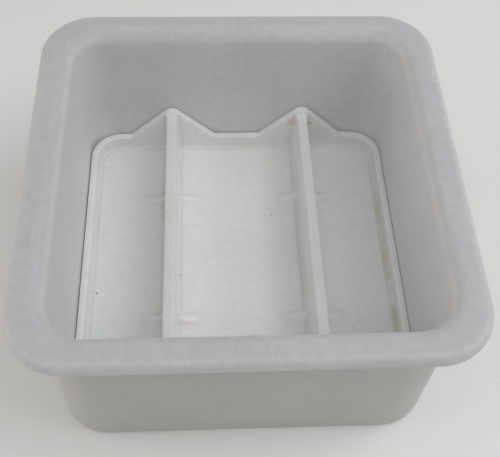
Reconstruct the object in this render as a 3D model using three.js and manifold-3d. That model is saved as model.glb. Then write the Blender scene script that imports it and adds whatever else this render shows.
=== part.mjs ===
// Cheese mould: an open square tub with a rolled rim, and the ribbed follower that presses the curd.
// Millimetres, +Z up, origin at the centre of the tub's underside.

import * as THREE from 'three';
import { mergeVertices } from 'three/addons/utils/BufferGeometryUtils.js';
import Module from 'manifold-3d';

const wasm = await Module();
wasm.setup();

// Tub: cavity, walls and floor
const CAVITY_X = 337;
const CAVITY_Y = 337;
const CAVITY_CORNER_RADIUS = 34;
const WALL_THICKNESS = 11.5;
const FLOOR_THICKNESS = 12;
const TUB_HEIGHT = 198;
const FLOOR_FILLET = 2.5;
const BOTTOM_EDGE_RADIUS = 6;

// Tub: rim
const RIM_OVERHANG = 20;
const RIM_THICKNESS = 16;
const RIM_CORNER_RADIUS = 52;
const RIM_INNER_EDGE_RADIUS = 13.5;
const RIM_UNDER_FILLET = 5;

// Tub: whey drain holes through the floor
const DRAIN_DIAMETER = 4;
const DRAIN_PITCH = 50;
const DRAIN_EDGE_MARGIN = 30;
const DRAIN_SIDES = 12;

// Follower: plate, and the fit of the whole follower in the tub
const FOLLOWER_CLEARANCE = 0.7;
const RESTING_GAP = 0.3;
const PLATE_THICKNESS = 15;
const PLATE_EDGE_RADIUS = 3;

// Follower: edge lips and the peaks of the two end walls
const LIP_THICKNESS = 7;
const LIP_HEIGHT = 17.5;
const LIP_EDGE_RADIUS = 1.5;
const PEAK_RISE = 5;
const PEAK_TOP_RADIUS = 11;
const PEAK_FOOT_RADIUS = 6;
const PEAK_SLOPE = THREE.MathUtils.degToRad(45);

// Follower: ribs and gussets
const RIB_OFFSET = 74.5;
const RIB_THICKNESS = 12;
const RIB_HEIGHT = 56.5;
const RIB_EDGE_RADIUS = 2.5;
const GUSSET_LENGTH = 26;
const GUSSET_HEIGHT = 7;
const GUSSET_THICKNESS = 10;
const GUSSET_NOSE = 1.2;
const GUSSET_STATIONS = { rear: 84, front: -69 };

// Facets
const CORNER_STEPS = 8;
const EDGE_STEPS = 4;

// Derived sizes
const CAVITY_HALF_X = CAVITY_X / 2;
const CAVITY_HALF_Y = CAVITY_Y / 2;
const FOLLOWER_HALF_X = CAVITY_HALF_X - FOLLOWER_CLEARANCE;
const FOLLOWER_HALF_Y = CAVITY_HALF_Y - FOLLOWER_CLEARANCE;
const FOLLOWER_CORNER_RADIUS = CAVITY_CORNER_RADIUS - FOLLOWER_CLEARANCE;
const PLATE_BOTTOM = FLOOR_THICKNESS + RESTING_GAP;
const PLATE_TOP = PLATE_BOTTOM + PLATE_THICKNESS;
const PEAK_HEIGHT = RIB_HEIGHT + PEAK_RISE;

const tubMaterial = new THREE.MeshStandardMaterial({
  name: 'tub_polyethylene', color: 0xc4c6c6, roughness: 0.5, metalness: 0,
});
const followerMaterial = new THREE.MeshStandardMaterial({
  name: 'follower_polyethylene', color: 0xdcdcd8, roughness: 0.45, metalness: 0,
});

// Points of a quarter turn (or any turn) in the plane, from one angle to another, in degrees.
function arcPoints(centreX, centreY, radius, fromAngle, toAngle, steps) {
  const points = [];
  for (let i = 0; i <= steps; i += 1) {
    const angle = THREE.MathUtils.degToRad(fromAngle + ((toAngle - fromAngle) * i) / steps);
    points.push([centreX + radius * Math.cos(angle), centreY + radius * Math.sin(angle)]);
  }
  return points;
}

// Outline of a rectangle with round corners, counter-clockwise.
function roundedRectangle(halfX, halfY, radius) {
  const x = halfX - radius;
  const y = halfY - radius;
  return [
    ...arcPoints(x, y, radius, 0, 90, CORNER_STEPS),
    ...arcPoints(-x, y, radius, 90, 180, CORNER_STEPS),
    ...arcPoints(-x, -y, radius, 180, 270, CORNER_STEPS),
    ...arcPoints(x, -y, radius, 270, 360, CORNER_STEPS),
  ];
}

// Closed body through a stack of round-cornered rings, from its underside round to its last ring.
// Each ring is { offset, radius, z }, where offset is how far it stands outside the given half sizes.
// The first ring is capped below and the last one above.
function loftRings(halfX, halfY, rings) {
  const positions = [];
  const indices = [];
  const count = 4 * (CORNER_STEPS + 1);
  for (const ring of rings) {
    for (const [x, y] of roundedRectangle(halfX + ring.offset, halfY + ring.offset, ring.radius)) {
      positions.push(x, y, ring.z);
    }
  }
  for (let level = 0; level + 1 < rings.length; level += 1) {
    for (let i = 0; i < count; i += 1) {
      const next = (i + 1) % count;
      const a = level * count + i;
      const b = level * count + next;
      indices.push(a, b, b + count, a, b + count, a + count);
    }
  }
  const last = (rings.length - 1) * count;
  for (let i = 1; i + 1 < count; i += 1) {
    indices.push(0, i + 1, i);
    indices.push(last, last + i, last + i + 1);
  }
  const geometry = new THREE.BufferGeometry();
  geometry.setAttribute('position', new THREE.Float32BufferAttribute(positions, 3));
  geometry.setIndex(indices);
  return geometry;
}

// Straight prism of a plane outline, extruded along +Z from zero.
function prism(outline, length) {
  const shape = new THREE.Shape(outline.map(([x, y]) => new THREE.Vector2(x, y)));
  return new THREE.ExtrudeGeometry(shape, { depth: length, bevelEnabled: false, steps: 1 });
}

// Prism of an outline drawn in the XZ plane, running along +Y from startY.
function prismAlongY(outline, startY, length) {
  const geometry = prism(outline, length);
  geometry.rotateX(Math.PI / 2);
  geometry.translate(0, startY + length, 0);
  return geometry;
}

function toManifold(geometry) {
  const bare = geometry.clone();
  bare.deleteAttribute('normal');
  bare.deleteAttribute('uv');
  const merged = mergeVertices(bare, 1e-4);
  return new wasm.Manifold(new wasm.Mesh({
    numProp: 3,
    vertProperties: new Float32Array(merged.attributes.position.array),
    triVerts: new Uint32Array(merged.index.array),
  }));
}

function fromManifold(solid) {
  const mesh = solid.getMesh();
  const geometry = new THREE.BufferGeometry();
  geometry.setAttribute('position', new THREE.BufferAttribute(new Float32Array(mesh.vertProperties), 3));
  geometry.setIndex(new THREE.BufferAttribute(new Uint32Array(mesh.triVerts), 1));
  return geometry;
}

function namedMesh(name, geometry, material) {
  geometry.computeVertexNormals();
  const mesh = new THREE.Mesh(geometry, material);
  mesh.name = name;
  return mesh;
}

// Centres of one row of drain holes: an even number of them, so that the middle stays solid.
function drainRow(halfLength) {
  const pairs = Math.max(1, Math.floor((halfLength - DRAIN_EDGE_MARGIN) / DRAIN_PITCH + 0.5));
  const row = [];
  for (let i = 0; i < pairs; i += 1) {
    const distance = (i + 0.5) * DRAIN_PITCH;
    row.push(-distance, distance);
  }
  return row;
}

// Tub: one moulding, lofted from the underside, up the walls, over the rim and down to the floor.
function tubBody() {
  const rings = [];
  const addArc = (centreOffset, centreZ, radius, cornerRadius, fromAngle, toAngle, steps) => {
    for (const [offset, z] of arcPoints(centreOffset, centreZ, radius, fromAngle, toAngle, steps)) {
      rings.push({ offset, radius: cornerRadius(offset), z });
    }
  };
  const cavityCorner = (offset) => CAVITY_CORNER_RADIUS + offset;
  const rimOffset = WALL_THICKNESS + RIM_OVERHANG;
  const rimCorner = (offset) => RIM_CORNER_RADIUS + offset - rimOffset;
  const rimNose = RIM_THICKNESS / 2;
  const underZ = TUB_HEIGHT - RIM_THICKNESS;

  addArc(WALL_THICKNESS - BOTTOM_EDGE_RADIUS, BOTTOM_EDGE_RADIUS, BOTTOM_EDGE_RADIUS,
    cavityCorner, -90, 0, EDGE_STEPS);
  addArc(WALL_THICKNESS + RIM_UNDER_FILLET, underZ - RIM_UNDER_FILLET, RIM_UNDER_FILLET,
    cavityCorner, 180, 90, EDGE_STEPS);
  addArc(rimOffset - rimNose, TUB_HEIGHT - rimNose, rimNose, rimCorner, -90, 90, 2 * EDGE_STEPS);
  addArc(RIM_INNER_EDGE_RADIUS, TUB_HEIGHT - RIM_INNER_EDGE_RADIUS, RIM_INNER_EDGE_RADIUS,
    cavityCorner, 90, 180, EDGE_STEPS);
  addArc(-FLOOR_FILLET, FLOOR_THICKNESS + FLOOR_FILLET, FLOOR_FILLET, cavityCorner, 0, -90, EDGE_STEPS);

  let solid = toManifold(loftRings(CAVITY_HALF_X, CAVITY_HALF_Y, rings));
  const drill = new THREE.CylinderGeometry(
    DRAIN_DIAMETER / 2, DRAIN_DIAMETER / 2, 2 * FLOOR_THICKNESS, DRAIN_SIDES,
  );
  drill.rotateX(Math.PI / 2);
  drill.translate(0, 0, FLOOR_THICKNESS / 2);
  const drillSolid = toManifold(drill);
  for (const x of drainRow(CAVITY_HALF_X)) {
    for (const y of drainRow(CAVITY_HALF_Y)) {
      solid = solid.subtract(drillSolid.translate([x, y, 0]));
    }
  }
  return namedMesh('mould_body', fromManifold(solid), tubMaterial);
}

// Follower plate: flat slab that covers the cavity, its lower edge rounded.
function followerPlate() {
  const rings = [];
  const arc = arcPoints(-PLATE_EDGE_RADIUS, PLATE_EDGE_RADIUS, PLATE_EDGE_RADIUS, -90, 0, EDGE_STEPS);
  for (const [offset, z] of arc) {
    rings.push({ offset, radius: FOLLOWER_CORNER_RADIUS + offset, z: PLATE_BOTTOM + z });
  }
  rings.push({ offset: 0, radius: FOLLOWER_CORNER_RADIUS, z: PLATE_TOP });
  return namedMesh('follower_plate', loftRings(FOLLOWER_HALF_X, FOLLOWER_HALF_Y, rings), followerMaterial);
}

// Section of an upright strip that stands on the plate, its two top edges rounded.
function uprightSection(leftX, rightX, height, edgeRadius) {
  const top = PLATE_TOP + height;
  return [
    [leftX, PLATE_TOP],
    [rightX, PLATE_TOP],
    ...arcPoints(rightX - edgeRadius, top - edgeRadius, edgeRadius, 0, 90, EDGE_STEPS),
    ...arcPoints(leftX + edgeRadius, top - edgeRadius, edgeRadius, 90, 180, EDGE_STEPS),
  ];
}

// Side lip: straight strip along one side edge, between the round corners of the end walls.
function sideLip(name, side) {
  const outer = side * FOLLOWER_HALF_X;
  const inner = outer - side * LIP_THICKNESS;
  const length = 2 * (FOLLOWER_HALF_Y - FOLLOWER_CORNER_RADIUS);
  const section = uprightSection(Math.min(outer, inner), Math.max(outer, inner), LIP_HEIGHT, LIP_EDGE_RADIUS);
  return namedMesh(name, prismAlongY(section, -length / 2, length), followerMaterial);
}

// Half of a peak's outline above the lip, from the foot to the crown, as [distance from rib, height].
function peakFlank() {
  const slope = THREE.MathUtils.radToDeg(PEAK_SLOPE);
  const crownZ = PLATE_TOP + PEAK_HEIGHT - PEAK_TOP_RADIUS;
  const footZ = PLATE_TOP + LIP_HEIGHT + PEAK_FOOT_RADIUS;
  const crown = arcPoints(0, crownZ, PEAK_TOP_RADIUS, 90 - slope, 90, EDGE_STEPS);
  const radii = PEAK_TOP_RADIUS + PEAK_FOOT_RADIUS;
  const run = (radii - (footZ - crownZ) * Math.cos(PEAK_SLOPE)) / Math.sin(PEAK_SLOPE);
  const foot = arcPoints(run, footZ, PEAK_FOOT_RADIUS, 270, 270 - slope, EDGE_STEPS);
  return [...foot, ...crown];
}

// End wall: bent strip across the follower and round both corners, with a peak in line with each rib.
function endWall(name, side) {
  const straightX = FOLLOWER_HALF_X - FOLLOWER_CORNER_RADIUS;
  const straightY = FOLLOWER_HALF_Y - FOLLOWER_CORNER_RADIUS;
  const innerRadius = FOLLOWER_CORNER_RADIUS - LIP_THICKNESS;
  const plan = [
    ...arcPoints(straightX, straightY, FOLLOWER_CORNER_RADIUS, 0, 90, CORNER_STEPS),
    ...arcPoints(-straightX, straightY, FOLLOWER_CORNER_RADIUS, 90, 180, CORNER_STEPS),
    ...arcPoints(-straightX, straightY, innerRadius, 180, 90, CORNER_STEPS),
    ...arcPoints(straightX, straightY, innerRadius, 90, 0, CORNER_STEPS),
  ];
  const strip = prism(plan, PEAK_HEIGHT);
  strip.translate(0, 0, PLATE_TOP);

  const flank = peakFlank();
  const outline = [[-2 * FOLLOWER_HALF_X, PLATE_TOP - 1], [2 * FOLLOWER_HALF_X, PLATE_TOP - 1]];
  outline.push([2 * FOLLOWER_HALF_X, PLATE_TOP + LIP_HEIGHT]);
  for (const ribX of [RIB_OFFSET, -RIB_OFFSET]) {
    for (const [distance, z] of flank) outline.push([ribX + distance, z]);
    for (const [distance, z] of flank.slice(0, -1).reverse()) outline.push([ribX - distance, z]);
  }
  outline.push([-2 * FOLLOWER_HALF_X, PLATE_TOP + LIP_HEIGHT]);
  const elevation = prismAlongY(outline, 0, 2 * FOLLOWER_HALF_Y);

  const geometry = fromManifold(toManifold(strip).intersect(toManifold(elevation)));
  if (side < 0) geometry.rotateZ(Math.PI);
  return namedMesh(name, geometry, followerMaterial);
}

// Rib: full-length upright bar that carries the press load, between the two end walls.
function rib(name, side) {
  const centre = side * RIB_OFFSET;
  const length = 2 * (FOLLOWER_HALF_Y - LIP_THICKNESS);
  const section = uprightSection(
    centre - RIB_THICKNESS / 2, centre + RIB_THICKNESS / 2, RIB_HEIGHT, RIB_EDGE_RADIUS,
  );
  return namedMesh(name, prismAlongY(section, -length / 2, length), followerMaterial);
}

// Gusset: low sloping web between a rib's side and the plate.
function gusset(name, ribSide, faceSide, stationY) {
  const root = ribSide * RIB_OFFSET + faceSide * RIB_THICKNESS / 2;
  const outline = [
    [root, PLATE_TOP],
    [root + faceSide * GUSSET_LENGTH, PLATE_TOP],
    [root + faceSide * GUSSET_LENGTH, PLATE_TOP + GUSSET_NOSE],
    [root, PLATE_TOP + GUSSET_HEIGHT],
  ];
  if (faceSide < 0) outline.reverse();
  return namedMesh(
    name, prismAlongY(outline, stationY - GUSSET_THICKNESS / 2, GUSSET_THICKNESS), followerMaterial,
  );
}

const follower = new THREE.Group();
follower.add(
  followerPlate(),
  sideLip('follower_left_lip', -1),
  sideLip('follower_right_lip', 1),
  endWall('follower_rear_wall', 1),
  endWall('follower_front_wall', -1),
  rib('follower_left_rib', -1),
  rib('follower_right_rib', 1),
);
for (const [ribName, ribSide] of [['left', -1], ['right', 1]]) {
  for (const [stationName, stationY] of Object.entries(GUSSET_STATIONS)) {
    for (const [faceName, faceSide] of [['outer', ribSide], ['inner', -ribSide]]) {
      follower.add(gusset(`gusset_${ribName}_${stationName}_${faceName}`, ribSide, faceSide, stationY));
    }
  }
}

const cheeseMould = new THREE.Group();
cheeseMould.add(tubBody(), follower);

export default cheeseMould;
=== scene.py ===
"""Looks of a cheese mould: a milky polyethylene tub with a rolled rim, and the ribbed follower in it."""

import math

import bmesh
import bpy
import numpy as np
from mathutils import Matrix, Vector, noise


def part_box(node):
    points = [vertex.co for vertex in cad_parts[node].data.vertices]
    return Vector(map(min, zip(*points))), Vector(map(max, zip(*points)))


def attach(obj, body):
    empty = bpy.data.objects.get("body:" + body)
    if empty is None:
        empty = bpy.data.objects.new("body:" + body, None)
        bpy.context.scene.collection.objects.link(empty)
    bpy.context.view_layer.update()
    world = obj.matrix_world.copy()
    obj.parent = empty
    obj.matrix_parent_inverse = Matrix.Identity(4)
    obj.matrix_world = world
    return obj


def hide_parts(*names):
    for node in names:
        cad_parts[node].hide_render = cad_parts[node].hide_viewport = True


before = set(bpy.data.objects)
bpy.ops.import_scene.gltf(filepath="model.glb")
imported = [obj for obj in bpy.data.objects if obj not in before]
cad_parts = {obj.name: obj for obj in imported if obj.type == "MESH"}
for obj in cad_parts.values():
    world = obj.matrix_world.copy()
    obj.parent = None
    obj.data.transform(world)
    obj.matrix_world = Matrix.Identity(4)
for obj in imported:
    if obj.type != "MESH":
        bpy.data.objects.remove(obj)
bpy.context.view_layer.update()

MM = 0.001

# Sizes read from the frame, in metres
TUB_LOW, TUB_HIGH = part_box("mould_body")
PLATE_LOW, PLATE_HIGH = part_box("follower_plate")
LIP_LOW, LIP_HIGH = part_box("follower_right_lip")
RIB_LOW, RIB_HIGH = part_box("follower_right_rib")
RIM_HALF = TUB_HIGH.x
RIM_TOP = TUB_HIGH.z
PLATE_HALF = PLATE_HIGH.x
PLATE_TOP = PLATE_HIGH.z
LIP_THICKNESS = LIP_HIGH.x - LIP_LOW.x
LIP_TOP = LIP_HIGH.z
RIB_OFFSET = (RIB_LOW.x + RIB_HIGH.x) / 2
RIB_THICKNESS = RIB_HIGH.x - RIB_LOW.x
RIB_TOP = RIB_HIGH.z
PEAK_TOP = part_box("follower_rear_wall")[1].z
SIDE_LIP_HALF = LIP_HIGH.y

# Sizes of the mouldings' own shapes
CAVITY_HALF = 168.5 * MM
CAVITY_CORNER = 34 * MM
WALL = 11.5 * MM
FLOOR = 12 * MM
RIM_THICKNESS = 16 * MM
RIM_CORNER = 52 * MM
RIM_INNER_EDGE = 13.5 * MM
RIM_UNDER_FILLET = 5 * MM
FLOOR_FILLET = 2.5 * MM
BOTTOM_EDGE = 6 * MM
DRAIN_RADIUS = 2 * MM
DRAIN_PITCH = 50 * MM
DRAIN_PAIRS = 3
DRAIN_CHAMFER = 0.7 * MM
SEAT_LEAN = 0.3 * MM
OUTSIDE_BOW = 0.3 * MM
RIM_DIP = 0.6 * MM
PLATE_CORNER = PLATE_HALF - SIDE_LIP_HALF
PLATE_EDGE = 3 * MM
LIP_OUTER_EDGE = 0.4 * MM
LIP_INNER_EDGE = 2.5 * MM
RIB_EDGE = 2.5 * MM
JOINT_FILLET = 5 * MM
END_FILLET = 6 * MM
PEAK_TOP_RADIUS = 11 * MM
PEAK_FOOT_RADIUS = 6 * MM
PEAK_SLOPE = math.radians(45)
END_FILLET_FADE = 0.6
RIB_SWAY = 0.5 * MM
RIB_DIP = 0.4 * MM
GUSSET_CREST = 0.9
GUSSET_TIP = 0.15 * MM
GUSSET_SINK = 0.5 * MM


# ---------------------------------------------------------------- mesh helpers

def arc(centre_x, centre_y, radius, start, end, steps):
    """Points of an arc, from one angle to another, in degrees."""
    angles = np.radians(np.linspace(start, end, steps + 1))
    return [(centre_x + radius * math.cos(a), centre_y + radius * math.sin(a)) for a in angles]


def ring(half, radius, z, corner_steps=20, side_steps=16):
    """Points of a square with round corners at one height, counter-clockwise."""
    straight = half - radius
    points = []
    for quarter in range(4):
        start = 90 * quarter
        turn = Matrix.Rotation(math.radians(start), 3, "Z")
        centre = turn @ Vector((straight, straight, 0))
        points += [(x, y, z) for x, y in arc(centre.x, centre.y, radius, start, start + 90, corner_steps)]
        last = Vector(points[-1])
        step = turn @ Vector((-2 * straight / side_steps, 0, 0))
        points += [tuple(last + step * i) for i in range(1, side_steps)]
    return points


def loft(rings):
    """Closed mesh through rings with equal numbers of points, capped at both ends."""
    count = len(rings[0])
    verts = [p for points in rings for p in points]
    faces = [tuple(reversed(range(count)))]
    for level in range(len(rings) - 1):
        for i in range(count):
            j = (i + 1) % count
            a, b = level * count + i, level * count + j
            faces.append((a, b, b + count, a + count))
    faces.append(tuple(range((len(rings) - 1) * count, len(rings) * count)))
    return verts, faces


def inward_rings(half, radius, z, spacing, innermost):
    """Rings that shrink towards the middle of a flat face, outermost first."""
    rings = []
    offset = spacing
    while half - offset > innermost:
        rings.append(ring(half - offset, max(radius - offset, innermost / 2), z))
        offset += spacing
    return rings


def set_shading(obj, limit=math.radians(32)):
    """Smooth shading, with edges sharper than the limit kept crisp."""
    mesh = bmesh.new()
    mesh.from_mesh(obj.data)
    bmesh.ops.recalc_face_normals(mesh, faces=mesh.faces)
    for face in mesh.faces:
        face.smooth = True
    for edge in mesh.edges:
        edge.smooth = len(edge.link_faces) == 2 and edge.calc_face_angle() < limit
    mesh.to_mesh(obj.data)
    mesh.free()


def new_piece(name, verts, faces, material):
    mesh = bpy.data.meshes.new(name)
    mesh.from_pydata([tuple(v) for v in verts], [], faces)
    mesh.materials.append(material)
    obj = bpy.data.objects.new(name, mesh)
    bpy.context.scene.collection.objects.link(obj)
    return obj


def apply_modifiers(obj):
    depsgraph = bpy.context.evaluated_depsgraph_get()
    mesh = bpy.data.meshes.new_from_object(obj.evaluated_get(depsgraph))
    obj.modifiers.clear()
    obj.data = mesh


def finish_piece(obj, body, node):
    """The piece stands for its CAD node, which is hidden, gets smooth shading with crisp edges, and rides on
    its body.
    """
    set_shading(obj)
    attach(obj, body)
    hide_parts(node)


def unevenness(x, y, z, size, seed):
    """Smooth value from 0 to 1 that varies over about the given length."""
    value = noise.noise(Vector((x / size + seed, y / size, z / size)))
    return min(1.0, max(0.0, 0.5 + 0.6 * value))


# ---------------------------------------------------------------- node helpers

class Graph:
    """Short calls for building a material's node tree."""

    def __init__(self, material):
        material.use_nodes = True
        self.tree = material.node_tree
        self.tree.nodes.clear()
        self.coordinates = self.node("ShaderNodeTexCoord").outputs["Object"]

    def node(self, kind, **settings):
        made = self.tree.nodes.new(kind)
        for name, value in settings.items():
            setattr(made, name, value)
        return made

    def put(self, socket, value):
        if isinstance(value, bpy.types.NodeSocket):
            self.tree.links.new(value, socket)
        elif socket.type == "RGBA" and len(value) == 3:
            socket.default_value = (*value, 1)
        else:
            socket.default_value = value

    def math(self, operation, a, b=0.0, clamp=False):
        made = self.node("ShaderNodeMath", operation=operation, use_clamp=clamp)
        self.put(made.inputs[0], a)
        self.put(made.inputs[1], b)
        return made.outputs[0]

    def stretched(self, scale, turn=0.0):
        """Object coordinates turned about Z, then scaled along each axis."""
        made = self.node("ShaderNodeMapping")
        self.put(made.inputs["Vector"], self.coordinates)
        made.inputs["Rotation"].default_value = (0, 0, turn)
        made.inputs["Scale"].default_value = scale
        return made.outputs[0]

    def noise(self, size, detail=3.0, roughness=0.5, vector=None, distortion=0.0):
        """Noise from 0 to 1 whose lumps are about the given size across."""
        made = self.node("ShaderNodeTexNoise")
        self.put(made.inputs["Vector"], vector or self.coordinates)
        made.inputs["Scale"].default_value = 1 / size
        made.inputs["Detail"].default_value = detail
        made.inputs["Roughness"].default_value = roughness
        made.inputs["Distortion"].default_value = distortion
        return made.outputs["Fac"]

    def ramp(self, value, low, high, out_low=0.0, out_high=1.0):
        """Smooth step from one output to the other as value goes from low to high."""
        made = self.node("ShaderNodeMapRange", interpolation_type="SMOOTHSTEP")
        self.put(made.inputs["Value"], value)
        made.inputs["From Min"].default_value = low
        made.inputs["From Max"].default_value = high
        made.inputs["To Min"].default_value = out_low
        made.inputs["To Max"].default_value = out_high
        return made.outputs["Result"]

    def mix(self, factor, a, b):
        made = self.node("ShaderNodeMix", data_type="RGBA")
        self.put(made.inputs["Factor"], factor)
        self.put(made.inputs[6], a)
        self.put(made.inputs[7], b)
        return made.outputs[2]

    def darkened(self, colour, amount):
        """The colour times one minus the amount."""
        made = self.node("ShaderNodeVectorMath", operation="SCALE")
        self.put(made.inputs[0], colour)
        self.put(made.inputs["Scale"], self.math("SUBTRACT", 1.0, amount))
        return made.outputs[0]

    def near_point(self, place, radius):
        """1 at the place, falling to 0 at the radius."""
        made = self.node("ShaderNodeVectorMath", operation="DISTANCE")
        self.put(made.inputs[0], self.coordinates)
        made.inputs[1].default_value = place
        return self.ramp(made.outputs["Value"], 0.4 * radius, radius, 1.0, 0.0)

    def axis(self, index):
        made = self.node("ShaderNodeSeparateXYZ")
        self.put(made.inputs[0], self.coordinates)
        return made.outputs[index]

    def near_plane(self, index, place, width):
        """1 where the coordinate is at the place, falling to 0 at the width either side."""
        distance = self.math("ABSOLUTE", self.math("SUBTRACT", self.axis(index), place))
        return self.ramp(distance, 0.0, width, 1.0, 0.0)

    def within(self, index, low, high, soft):
        """1 between two coordinates, with soft ends."""
        rising = self.ramp(self.axis(index), low - soft, low + soft)
        falling = self.ramp(self.axis(index), high - soft, high + soft, 1.0, 0.0)
        return self.math("MULTIPLY", rising, falling)

    def product(self, *factors):
        result = factors[0]
        for factor in factors[1:]:
            result = self.math("MULTIPLY", result, factor)
        return result

    def largest(self, *values):
        result = values[0]
        for value in values[1:]:
            result = self.math("MAXIMUM", result, value)
        return result


# ---------------------------------------------------------------- materials

def scratches(graph, size, turn, threshold):
    """Long thin streaks, all running one way."""
    vector = graph.stretched((1.0, 0.035, 1.0), turn)
    value = graph.noise(size, detail=2.0, vector=vector)
    return graph.ramp(value, threshold, threshold + 0.06)


def polyethylene(name, base, marks, mottling, roughness, subsurface, scatter_depth):
    """Milky moulded polyethylene: faint clouds and mottling, fine scuffs and orange peel.

    marks(graph, colour) gives the colour with the piece's painted light and shade, whey staining and specks
    on it."""
    material = bpy.data.materials.new(name)
    graph = Graph(material)
    clouds = graph.noise(60 * MM, detail=2.0)
    mottle = graph.noise(7 * MM, detail=3.0, roughness=0.6)
    grain = graph.noise(1.6 * MM, detail=2.0)
    streaks = graph.largest(
        scratches(graph, 2.6 * MM, 0.15, 0.66),
        scratches(graph, 3.1 * MM, 1.45, 0.68),
        scratches(graph, 2.2 * MM, -0.6, 0.70),
    )
    shade = graph.math("ADD", graph.math("MULTIPLY", clouds, 0.35), graph.math("MULTIPLY", mottle, 0.65))
    shade = graph.math("ADD", graph.math("MULTIPLY", grain, 0.25), graph.math("MULTIPLY", shade, 0.75))
    colour = marks(graph, (*base, 1))
    colour = graph.darkened(colour, graph.ramp(shade, 0.36, 0.64, mottling, 0.0))
    colour = graph.mix(graph.math("MULTIPLY", streaks, 0.10), colour, WHITE)

    shader = graph.node("ShaderNodeBsdfPrincipled")
    graph.put(shader.inputs["Base Color"], colour)
    finish = graph.ramp(mottle, 0.3, 0.7, roughness - 0.06, roughness + 0.08)
    graph.put(shader.inputs["Roughness"], graph.math("ADD", finish, graph.math("MULTIPLY", streaks, 0.08)))
    shader.inputs["IOR"].default_value = 1.5
    shader.inputs["Specular IOR Level"].default_value = 0.35
    shader.inputs["Subsurface Weight"].default_value = subsurface
    shader.inputs["Subsurface Radius"].default_value = (1.0, 0.95, 0.85)
    shader.inputs["Subsurface Scale"].default_value = scatter_depth

    peel = graph.noise(5 * MM, detail=2.0, roughness=0.4)
    height = graph.math("ADD", graph.math("MULTIPLY", peel, 0.6), graph.math("MULTIPLY", grain, 0.12))
    height = graph.math("SUBTRACT", height, graph.math("MULTIPLY", streaks, 0.25))
    bump = graph.node("ShaderNodeBump")
    bump.inputs["Strength"].default_value = 0.35
    bump.inputs["Distance"].default_value = 0.35 * MM
    graph.put(bump.inputs["Height"], height)
    graph.put(shader.inputs["Normal"], bump.outputs[0])
    output = graph.node("ShaderNodeOutputMaterial")
    graph.put(output.inputs["Surface"], shader.outputs[0])
    return material


def tub_marks(graph, colour):
    """Painted light and shade: the inside lighter, the rim a darker cool grey and the outside a darker warm
    grey, as lit and shaded copies of one plastic; whey residue in patches near the floor; and a painted
    shadow band on the left inner wall above the follower's lip.
    """
    squares = []
    for index in (0, 1):
        past = graph.math("SUBTRACT", graph.math("ABSOLUTE", graph.axis(index)), CAVITY_HALF - CAVITY_CORNER)
        squares.append(graph.math("POWER", graph.math("MAXIMUM", past, 0.0), 2.0))
    away = graph.math("SQRT", graph.math("ADD", *squares))
    on_rim = graph.ramp(away, CAVITY_CORNER, CAVITY_CORNER + 6 * MM)
    rim_low, rim_high = RIM_TOP - 0.9 * RIM_THICKNESS, RIM_TOP - 0.4 * RIM_THICKNESS
    outside = graph.ramp(graph.axis(2), rim_low, rim_high, 1.0, 0.0)
    # Painted shade: the rim is painted a darker, cooler grey than the inside, and the outside below it a
    # darker, warmer grey, in place of the shade these faces get.
    colour = graph.mix(on_rim, colour, TUB_RIM_PAINTED_SHADE)
    colour = graph.mix(graph.product(on_rim, outside), colour, TUB_OUTSIDE_PAINTED_SHADE)
    low = graph.ramp(graph.axis(2), FLOOR, FLOOR + 30 * MM, 1.0, 0.0)
    patches = graph.ramp(graph.noise(25 * MM, detail=4.0), 0.45, 0.75)
    colour = graph.mix(graph.product(low, patches, 0.25), colour, TUB_RESIDUE)
    # Painted shadow: a soft dark band on the left inner wall just above the follower's lip, standing in for
    # the shade by the gap at the left lip.
    painted_gap_shadow = graph.near_plane(2, LIP_TOP + 2 * MM, 14 * MM)
    on_left = graph.ramp(graph.axis(0), -0.9 * CAVITY_HALF, -0.98 * CAVITY_HALF)
    inside = graph.math("SUBTRACT", 1.0, on_rim)
    return graph.darkened(colour, graph.product(painted_gap_shadow, on_left, inside, 0.22))


def follower_marks(graph, colour):
    """Whey staining along the joints, strongest at the right lip and the left rib's foot, painted shade
    along the right rib's left foot and on the rib tops, and specks.
    """
    lip_face = PLATE_HALF - LIP_THICKNESS
    rib_near = RIB_OFFSET - RIB_THICKNESS / 2
    rib_far = RIB_OFFSET + RIB_THICKNESS / 2
    at_plate = graph.near_plane(2, PLATE_TOP, 7 * MM)
    stains_and_painted_shade = graph.largest(
        graph.product(graph.near_plane(0, lip_face, 8 * MM), graph.within(1, -0.15, 0.10, 0.04), 1.0),
        graph.product(graph.near_plane(0, -lip_face, 4 * MM), 0.2),
        graph.product(graph.near_plane(0, -rib_far, 6 * MM), graph.within(1, 0.05, 0.10, 0.015), 1.0),
        # Painted shade: a broad olive band along the right rib's left foot, where the rib's shadow falls.
        graph.product(graph.near_plane(0, rib_near, 12 * MM), 0.28),
        graph.product(graph.near_plane(0, rib_far, 5 * MM), 0.12),
        graph.product(graph.near_plane(1, lip_face, 5 * MM), 0.35),
    )
    patches = graph.ramp(graph.noise(18 * MM, detail=4.0, roughness=0.6), 0.3, 0.65)
    colour = graph.mix(graph.product(stains_and_painted_shade, at_plate, patches, 0.65), colour, OLIVE)
    # Painted shade: the rib tops are painted duller toward their crests, to tone down the light on them.
    painted_rib_top_shade = graph.ramp(graph.axis(2), RIB_TOP - 5 * MM, RIB_TOP - 1 * MM)
    between_peaks = graph.within(1, -0.15, 0.15, 0.01)
    colour = graph.mix(graph.product(painted_rib_top_shade, between_peaks), colour, RIB_TOP_PAINTED_SHADE)
    for place, radius, strength, tint in SMUDGES:
        spot = graph.near_point([value * MM for value in place], radius * MM)
        colour = graph.mix(graph.product(spot, strength), colour, tint)
    return colour


WHITE = (0.95, 0.95, 0.95)
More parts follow.
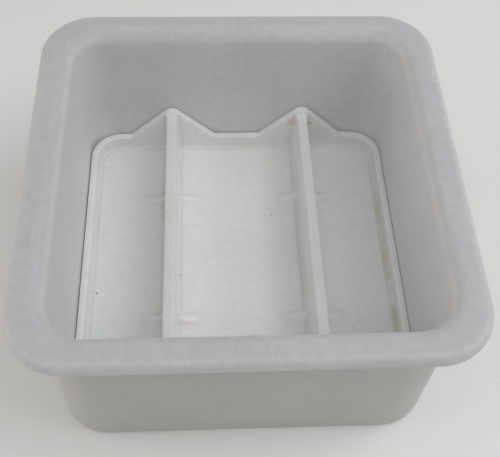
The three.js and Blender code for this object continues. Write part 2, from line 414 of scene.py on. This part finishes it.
# The tub's inside colour is painted lighter, as painted light in the cavity; its rim and outside colours are
# painted shade.
TUB_INSIDE_PAINTED_LIGHT = (0.745, 0.745, 0.745)
TUB_RIM_PAINTED_SHADE = (0.635, 0.635, 0.655)
TUB_OUTSIDE_PAINTED_SHADE = (0.60, 0.59, 0.57)
TUB_RESIDUE = (0.60, 0.57, 0.45)
FOLLOWER_WHITE = (0.92, 0.92, 0.92)
# Duller grey painted on the rib tops as shade.
RIB_TOP_PAINTED_SHADE = (0.82, 0.82, 0.825)
OLIVE = (0.55, 0.52, 0.28)
RUST = (0.72, 0.50, 0.40)
DIRT = (0.10, 0.10, 0.08)

# Place in mm, radius in mm, strength and colour of each smudge and speck on the follower
SMUDGES = [
    ((-82, 88, 29), 10, 0.30, OLIVE),
    ((-82, 74, 29), 10, 0.35, OLIVE),
    ((-82, 60, 29), 9, 0.25, OLIVE),
    ((-64, -77, 28), 7, 0.14, RUST),
    ((-57, -77, 28), 7, 0.14, RUST),
    ((-50, -78, 28), 6, 0.10, RUST),
    ((-86, -62, 28), 8, 0.16, RUST),
    ((-83, 104, 28), 6, 0.20, RUST),
    ((64, 161, 70), 7, 0.40, RUST),
    ((84, 161, 68), 6, 0.45, OLIVE),
    ((-153, -37, 27), 1.4, 0.95, DIRT),
    ((36, 60, 27), 1.3, 0.70, DIRT),
    ((160, 138, 44), 1.8, 0.80, DIRT),
    ((158, 144, 44), 1.5, 0.60, DIRT),
    ((-65, -17, 27), 1.6, 0.40, DIRT),
]

tub_plastic = polyethylene("mould_polyethylene", TUB_INSIDE_PAINTED_LIGHT, tub_marks, 0.08, 0.42, 0.8, 14 * MM)
follower_plastic = polyethylene(
    "follower_polyethylene", FOLLOWER_WHITE, follower_marks, 0.06, 0.40, 0.2, 3 * MM
)


# ---------------------------------------------------------------- tub

def tub_profile():
    """(offset from the cavity wall, height, corner radius) up the outside, over the rim, down inside."""
    rim_offset = RIM_HALF - CAVITY_HALF
    nose = RIM_THICKNESS / 2
    under = RIM_TOP - RIM_THICKNESS
    wall_profile = [
        (o, z, CAVITY_CORNER + o) for o, z in
        arc(WALL - BOTTOM_EDGE, BOTTOM_EDGE, BOTTOM_EDGE, -90, 0, 10)
    ]
    lower, upper = BOTTOM_EDGE, under - RIM_UNDER_FILLET
    for z in np.linspace(lower, upper, 14)[1:-1]:
        wall_profile.append((WALL, z, CAVITY_CORNER + WALL))
    wall_profile += [
        (o, z, CAVITY_CORNER + o) for o, z in
        arc(WALL + RIM_UNDER_FILLET, upper, RIM_UNDER_FILLET, 180, 90, 6)
    ]
    rim_profile = [
        (o, z, RIM_CORNER + o - rim_offset) for o, z in
        arc(rim_offset - nose, RIM_TOP - nose, nose, -90, 90, 18)
    ]
    inside = [
        (o, z, CAVITY_CORNER + o) for o, z in
        arc(RIM_INNER_EDGE, RIM_TOP - RIM_INNER_EDGE, RIM_INNER_EDGE, 90, 180, 12)
    ]
    for z in np.linspace(RIM_TOP - RIM_INNER_EDGE, FLOOR + FLOOR_FILLET, 14)[1:-1]:
        inside.append((0.0, z, CAVITY_CORNER))
    inside += [
        (o, z, CAVITY_CORNER + o) for o, z in
        arc(-FLOOR_FILLET, FLOOR + FLOOR_FILLET, FLOOR_FILLET, 0, -90, 5)
    ]
    return wall_profile + rim_profile + inside


def settle_tub(verts):
    """The moulding isn't quite true: its outside bows in and its rim dips by fractions of a millimetre.

    The cavity stays straight, so that the follower clears it all the way up. Its right and rear faces
    stand a little closer to the follower than its left and front ones."""
    settled = []
    for x, y, z in verts:
        up = z / RIM_TOP
        bow = OUTSIDE_BOW * up * unevenness(x, y, z, 0.16, 3.0)
        dip = RIM_DIP * up * unevenness(x, y, 0, 0.12, 11.0)
        if max(abs(x), abs(y)) > CAVITY_HALF + 0.1 * MM or z < FLOOR:
            lean = 0.0
        else:
            lean = SEAT_LEAN
            bow = 0.0
        new_x = x * (1 - bow / RIM_HALF) - lean * max(x, 0.0) / CAVITY_HALF
        new_y = y * (1 - bow / RIM_HALF) - lean * max(y, 0.0) / CAVITY_HALF
        settled.append((new_x, new_y, z - dip))
    return settled


def drain_cutters():
    """Drills for the drain holes, flared at both faces of the floor."""
    profile = [
        (DRAIN_RADIUS + 2 * DRAIN_CHAMFER, -DRAIN_CHAMFER),
        (DRAIN_RADIUS, DRAIN_CHAMFER),
        (DRAIN_RADIUS, FLOOR - DRAIN_CHAMFER),
        (DRAIN_RADIUS + 2 * DRAIN_CHAMFER, FLOOR + DRAIN_CHAMFER),
    ]
    sides = 20
    verts, faces = [], []
    distances = [(i + 0.5) * DRAIN_PITCH for i in range(DRAIN_PAIRS)]
    places = sorted([-d for d in distances] + distances)
    for x in places:
        for y in places:
            rings = []
            for radius, z in profile:
                rings.append([(x + px, y + py, z) for px, py in arc(0, 0, radius, 0, 360, sides)[:-1]])
            hole_verts, hole_faces = loft(rings)
            start = len(verts)
            verts += hole_verts
            faces += [tuple(start + i for i in face) for face in hole_faces]
    return verts, faces


def build_tub():
    profile = tub_profile()
    outline = [ring(CAVITY_HALF + o, r, z) for o, z, r in profile]
    base_half, base_corner = CAVITY_HALF + profile[0][0], profile[0][2]
    floor_half, floor_corner = CAVITY_HALF + profile[-1][0], profile[-1][2]
    underside = inward_rings(base_half, base_corner, 0.0, 12 * MM, 6 * MM)
    top_of_floor = inward_rings(floor_half, floor_corner, FLOOR, 12 * MM, 6 * MM)
    verts, faces = loft(list(reversed(underside)) + outline + top_of_floor)
    tub = new_piece("tub", settle_tub(verts), faces, tub_plastic)
    drills = new_piece("drain_cutters", *drain_cutters(), tub_plastic)
    cut = tub.modifiers.new("drains", "BOOLEAN")
    cut.operation = "DIFFERENCE"
    cut.solver = "EXACT"
    cut.object = drills
    apply_modifiers(tub)
    bpy.data.objects.remove(drills)
    finish_piece(tub, "mould", "mould_body")


# ---------------------------------------------------------------- follower

def build_plate():
    rings = []
    for offset, height in arc(-PLATE_EDGE, PLATE_EDGE, PLATE_EDGE, -90, 0, 6):
        rings.append(ring(PLATE_HALF + offset, PLATE_CORNER + offset, PLATE_LOW.z + height))
    underside = inward_rings(PLATE_HALF - PLATE_EDGE, PLATE_CORNER - PLATE_EDGE, PLATE_LOW.z, 8 * MM, 5 * MM)
    top = [ring(PLATE_HALF, PLATE_CORNER, PLATE_TOP)]
    top += inward_rings(PLATE_HALF, PLATE_CORNER, PLATE_TOP, 8 * MM, 5 * MM)
    verts, faces = loft(list(reversed(underside)) + rings + top)
    plate = new_piece("plate", verts, faces, follower_plastic)
    finish_piece(plate, "follower", "follower_plate")


def upright_section(outer, inner, top, outer_edge, inner_edge, foot_sides):
    """Section of an upright strip as (across, height): up one face, round the top, down the other.

    Across runs from outer to inner. A hollow fillet joins the plate on the sides in foot_sides."""
    way = 1 if inner > outer else -1
    foot = JOINT_FILLET
    points = []
    if "outer" in foot_sides:
        points += [(outer - way * (foot - x), z) for x, z in arc(0, PLATE_TOP + foot, foot, -90, 0, 5)]
    else:
        points.append((outer, PLATE_TOP))
    middle = (PLATE_TOP + top) / 2
    points.append((outer, middle))
    points += [
        (outer + way * (outer_edge + x), z) for x, z in arc(0, top - outer_edge, outer_edge, 180, 90, 5)
    ]
    points += [
        (inner - way * (inner_edge - x), z) for x, z in arc(0, top - inner_edge, inner_edge, 90, 0, 5)
    ]
    points.append((inner, middle))
    if "inner" in foot_sides:
        points += [(inner + way * (foot + x), z) for x, z in arc(0, PLATE_TOP + foot, foot, 180, 270, 5)]
    else:
        points.append((inner, PLATE_TOP))
    return points


def build_side_lip(name, node, side):
    section = upright_section(side * PLATE_HALF, side * (PLATE_HALF - LIP_THICKNESS), LIP_TOP,
                              LIP_OUTER_EDGE, LIP_INNER_EDGE, ("inner",))
    steps = np.linspace(-SIDE_LIP_HALF, SIDE_LIP_HALF, 28)
    verts, faces = loft([[(x, y, z) for x, z in section] for y in steps])
    lip = new_piece(name, verts, faces, follower_plastic)
    finish_piece(lip, "follower", node)


def peak_height(x):
    """Height of the end wall's top edge at x: the lip, with a rounded peak at each rib."""
    distance = abs(abs(x) - RIB_OFFSET)
    crown = PEAK_TOP - PEAK_TOP_RADIUS
    foot = LIP_TOP + PEAK_FOOT_RADIUS
    rise = crown - foot
    run = ((PEAK_TOP_RADIUS + PEAK_FOOT_RADIUS) + rise * math.cos(PEAK_SLOPE)) / math.sin(PEAK_SLOPE)
    crown_end = PEAK_TOP_RADIUS * math.sin(PEAK_SLOPE)
    foot_start = run - PEAK_FOOT_RADIUS * math.sin(PEAK_SLOPE)
    if distance <= crown_end:
        return crown + math.sqrt(PEAK_TOP_RADIUS ** 2 - distance ** 2)
    if distance < foot_start:
        return crown + PEAK_TOP_RADIUS * math.cos(PEAK_SLOPE) - (distance - crown_end) * math.tan(PEAK_SLOPE)
    if distance < run:
        return foot - math.sqrt(PEAK_FOOT_RADIUS ** 2 - (run - distance) ** 2)
    return LIP_TOP


def build_end_wall(name, node, side):
    """Strip bent round both corners, its sections square to its path, its top edge rising at the ribs."""
    straight = PLATE_HALF - PLATE_CORNER
    path = [((x, y), (x - straight, y - straight))
            for x, y in arc(straight, straight, PLATE_CORNER, 0, 90, 14)]
    path += [((x, PLATE_HALF), (0.0, 1.0)) for x in np.linspace(straight, -straight, 181)[1:-1]]
    path += [((x, y), (x + straight, y - straight))
             for x, y in arc(-straight, straight, PLATE_CORNER, 90, 180, 14)]
    stations = []
    for (x, y), outward in path:
        outward = Vector(outward).normalized()
        section = upright_section(0.0, LIP_THICKNESS, peak_height(x),
                                  LIP_OUTER_EDGE, LIP_INNER_EDGE, ("inner",))
        stations.append([
            (side * (x - outward.x * depth), side * (y - outward.y * depth), z) for depth, z in section
        ])
    verts, faces = loft(stations)
    wall = new_piece(name, verts, faces, follower_plastic)
    finish_piece(wall, "follower", node)


def quarter_round(gap, radius):
    """How far a hollow quarter round stands out, at a distance from the face that it runs up to."""
    if gap >= radius:
        return 0.0
    return radius - math.sqrt(radius ** 2 - (radius - gap) ** 2)


def build_rib(name, node, side):
    """Upright bar that flares in a hollow round where it meets each end wall, less toward its top."""
    centre = side * RIB_OFFSET
    middle = np.linspace(RIB_LOW.y + END_FILLET, RIB_HIGH.y - END_FILLET, 50)
    end = np.linspace(0, END_FILLET, 10)[:-1]
    stations = []
    for y in [*(RIB_LOW.y + end), *middle, *(RIB_HIGH.y - end[::-1])]:
        flare = quarter_round(min(RIB_HIGH.y - y, y - RIB_LOW.y), END_FILLET)
        half = RIB_THICKNESS / 2
        top = RIB_TOP + min(flare, PEAK_TOP - RIB_TOP - RIB_EDGE)
        section = upright_section(centre - half, centre + half, top,
                                  RIB_EDGE, RIB_EDGE, ("outer", "inner"))
        sway = RIB_SWAY * (unevenness(centre, y, 0, 0.09, 5.0) - 0.5)
        dip = RIB_DIP * unevenness(centre, y, 0, 0.06, 8.0)
        station = []
        for x, z in section:
            up = (z - PLATE_TOP) / (top - PLATE_TOP)
            spread = math.copysign(flare * (1 - END_FILLET_FADE * up), x - centre)
            station.append((x + spread + sway * up, y, z - dip * up))
        stations.append(station)
    verts, faces = loft(stations)
    rib = new_piece(name, verts, faces, follower_plastic)
    finish_piece(rib, "follower", node)


def build_gusset(name, node):
    """Low soft-edged web that falls from the rib's side to nothing on the plate."""
    low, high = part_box(node)
    rib_x = math.copysign(RIB_OFFSET, low.x)
    outward = 1 if (low.x + high.x) / 2 > rib_x else -1
    root, tip = (low.x, high.x) if outward > 0 else (high.x, low.x)
    centre = (high.y + low.y) / 2
    half = 0.7 * (high.y - low.y)
    sunk = PLATE_TOP - GUSSET_SINK
    across = np.linspace(-1, 1, 17)
    stations = []
    for t in np.linspace(0, 1, 20):
        x = root + (tip - root) * t
        crest = GUSSET_CREST * (high.z - PLATE_TOP) * (1 - t) ** 1.3
        crest += quarter_round(t * abs(tip - root), JOINT_FILLET)
        crest = max(crest, GUSSET_TIP)
        section = [(x, centre - half, sunk)]
        for s in across:
            section.append((x, centre + half * s, PLATE_TOP + crest * math.cos(math.pi / 2 * s) ** 1.5))
        section.append((x, centre + half, sunk))
        stations.append(section)
    verts, faces = loft(stations)
    gusset = new_piece(name, verts, faces, follower_plastic)
    finish_piece(gusset, "follower", node)


def build_follower():
    build_plate()
    build_side_lip("left_lip", "follower_left_lip", -1)
    build_side_lip("right_lip", "follower_right_lip", 1)
    build_end_wall("rear_wall", "follower_rear_wall", 1)
    build_end_wall("front_wall", "follower_front_wall", -1)
    build_rib("left_rib", "follower_left_rib", -1)
    build_rib("right_rib", "follower_right_rib", 1)
    for node in sorted(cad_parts):
        if node.startswith("gusset_"):
            build_gusset(node.replace("gusset_", "web_"), node)


# ---------------------------------------------------------------- studio

def floor_material():
    material = bpy.data.materials.new("studio_floor")
    graph = Graph(material)
    shader = graph.node("ShaderNodeBsdfPrincipled")
    clouds = graph.noise(0.6, detail=2.0)
    graph.put(shader.inputs["Base Color"], graph.mix(clouds, (0.94, 0.935, 0.925), (0.96, 0.955, 0.945)))
    shader.inputs["Roughness"].default_value = 0.9
    shader.inputs["Specular IOR Level"].default_value = 0.1
    output = graph.node("ShaderNodeOutputMaterial")
    graph.put(output.inputs["Surface"], shader.outputs[0])
    return material


def build_floor():
    half, below = 6.0, 0.2 * MM
    verts = [(-half, -half, -below), (half, -half, -below), (half, half, -below), (-half, half, -below)]
    floor = new_piece("studio_floor", verts, [(0, 1, 2, 3)], floor_material())


SOFTBOX_SIZE = 2.0
SOFTBOX_DISTANCE = 2.4

# Name, direction seen from the object, watts and colour of each softbox
SOFTBOXES = [
    ("right_softbox", (0.9, 0.0, 1.0), 20.5, (0.95, 0.98, 1.0)),
    ("left_softbox", (-1.0, 0.0, 0.35), 14.0, (1.0, 0.99, 0.97)),
    ("top_softbox", (0.0, -0.3, 1.0), 10.5, (1.0, 1.0, 1.0)),
]


def build_lights():
    world = bpy.data.worlds.new("studio")
    world.use_nodes = True
    background = world.node_tree.nodes["Background"]
    background.inputs["Color"].default_value = (1.0, 0.975, 0.94, 1)
    background.inputs["Strength"].default_value = 0.27
    bpy.context.scene.world = world
    for name, direction, energy, colour in SOFTBOXES:
        light = bpy.data.lights.new(name, "AREA")
        light.shape = "DISK"
        light.size = SOFTBOX_SIZE
        light.energy = energy
        light.color = colour
        softbox = bpy.data.objects.new(name, light)
        bpy.context.scene.collection.objects.link(softbox)
        lean = Vector(direction).normalized()
        softbox.location = lean * SOFTBOX_DISTANCE
        softbox.rotation_euler = lean.to_track_quat("Z", "Y").to_euler()


def build_camera():
    pitch, yaw, roll = math.radians(56.185), math.radians(-5.111), math.radians(3.271)
    forward = Vector((-math.sin(yaw) * math.cos(pitch), math.cos(yaw) * math.cos(pitch), -math.sin(pitch)))
    right = Vector((math.cos(yaw), math.sin(yaw), 0))
    up = right.cross(forward)
    tilted_right = right * math.cos(roll) + up * math.sin(roll)
    tilted_up = up * math.cos(roll) - right * math.sin(roll)
    data = bpy.data.cameras.new("camera")
    data.sensor_width = 36
    data.lens = 56.76
    camera = bpy.data.objects.new("camera", data)
    rotation = Matrix((tilted_right, tilted_up, -forward)).transposed()
    camera.matrix_world = Matrix.Translation((-0.0319, -0.4476, RIM_TOP + 0.5628)) @ rotation.to_4x4()
    bpy.context.scene.collection.objects.link(camera)
    bpy.context.scene.camera = camera


build_camera()
build_lights()
build_floor()
build_tub()
build_follower()
bpy.context.scene.view_settings.view_transform = "Standard"
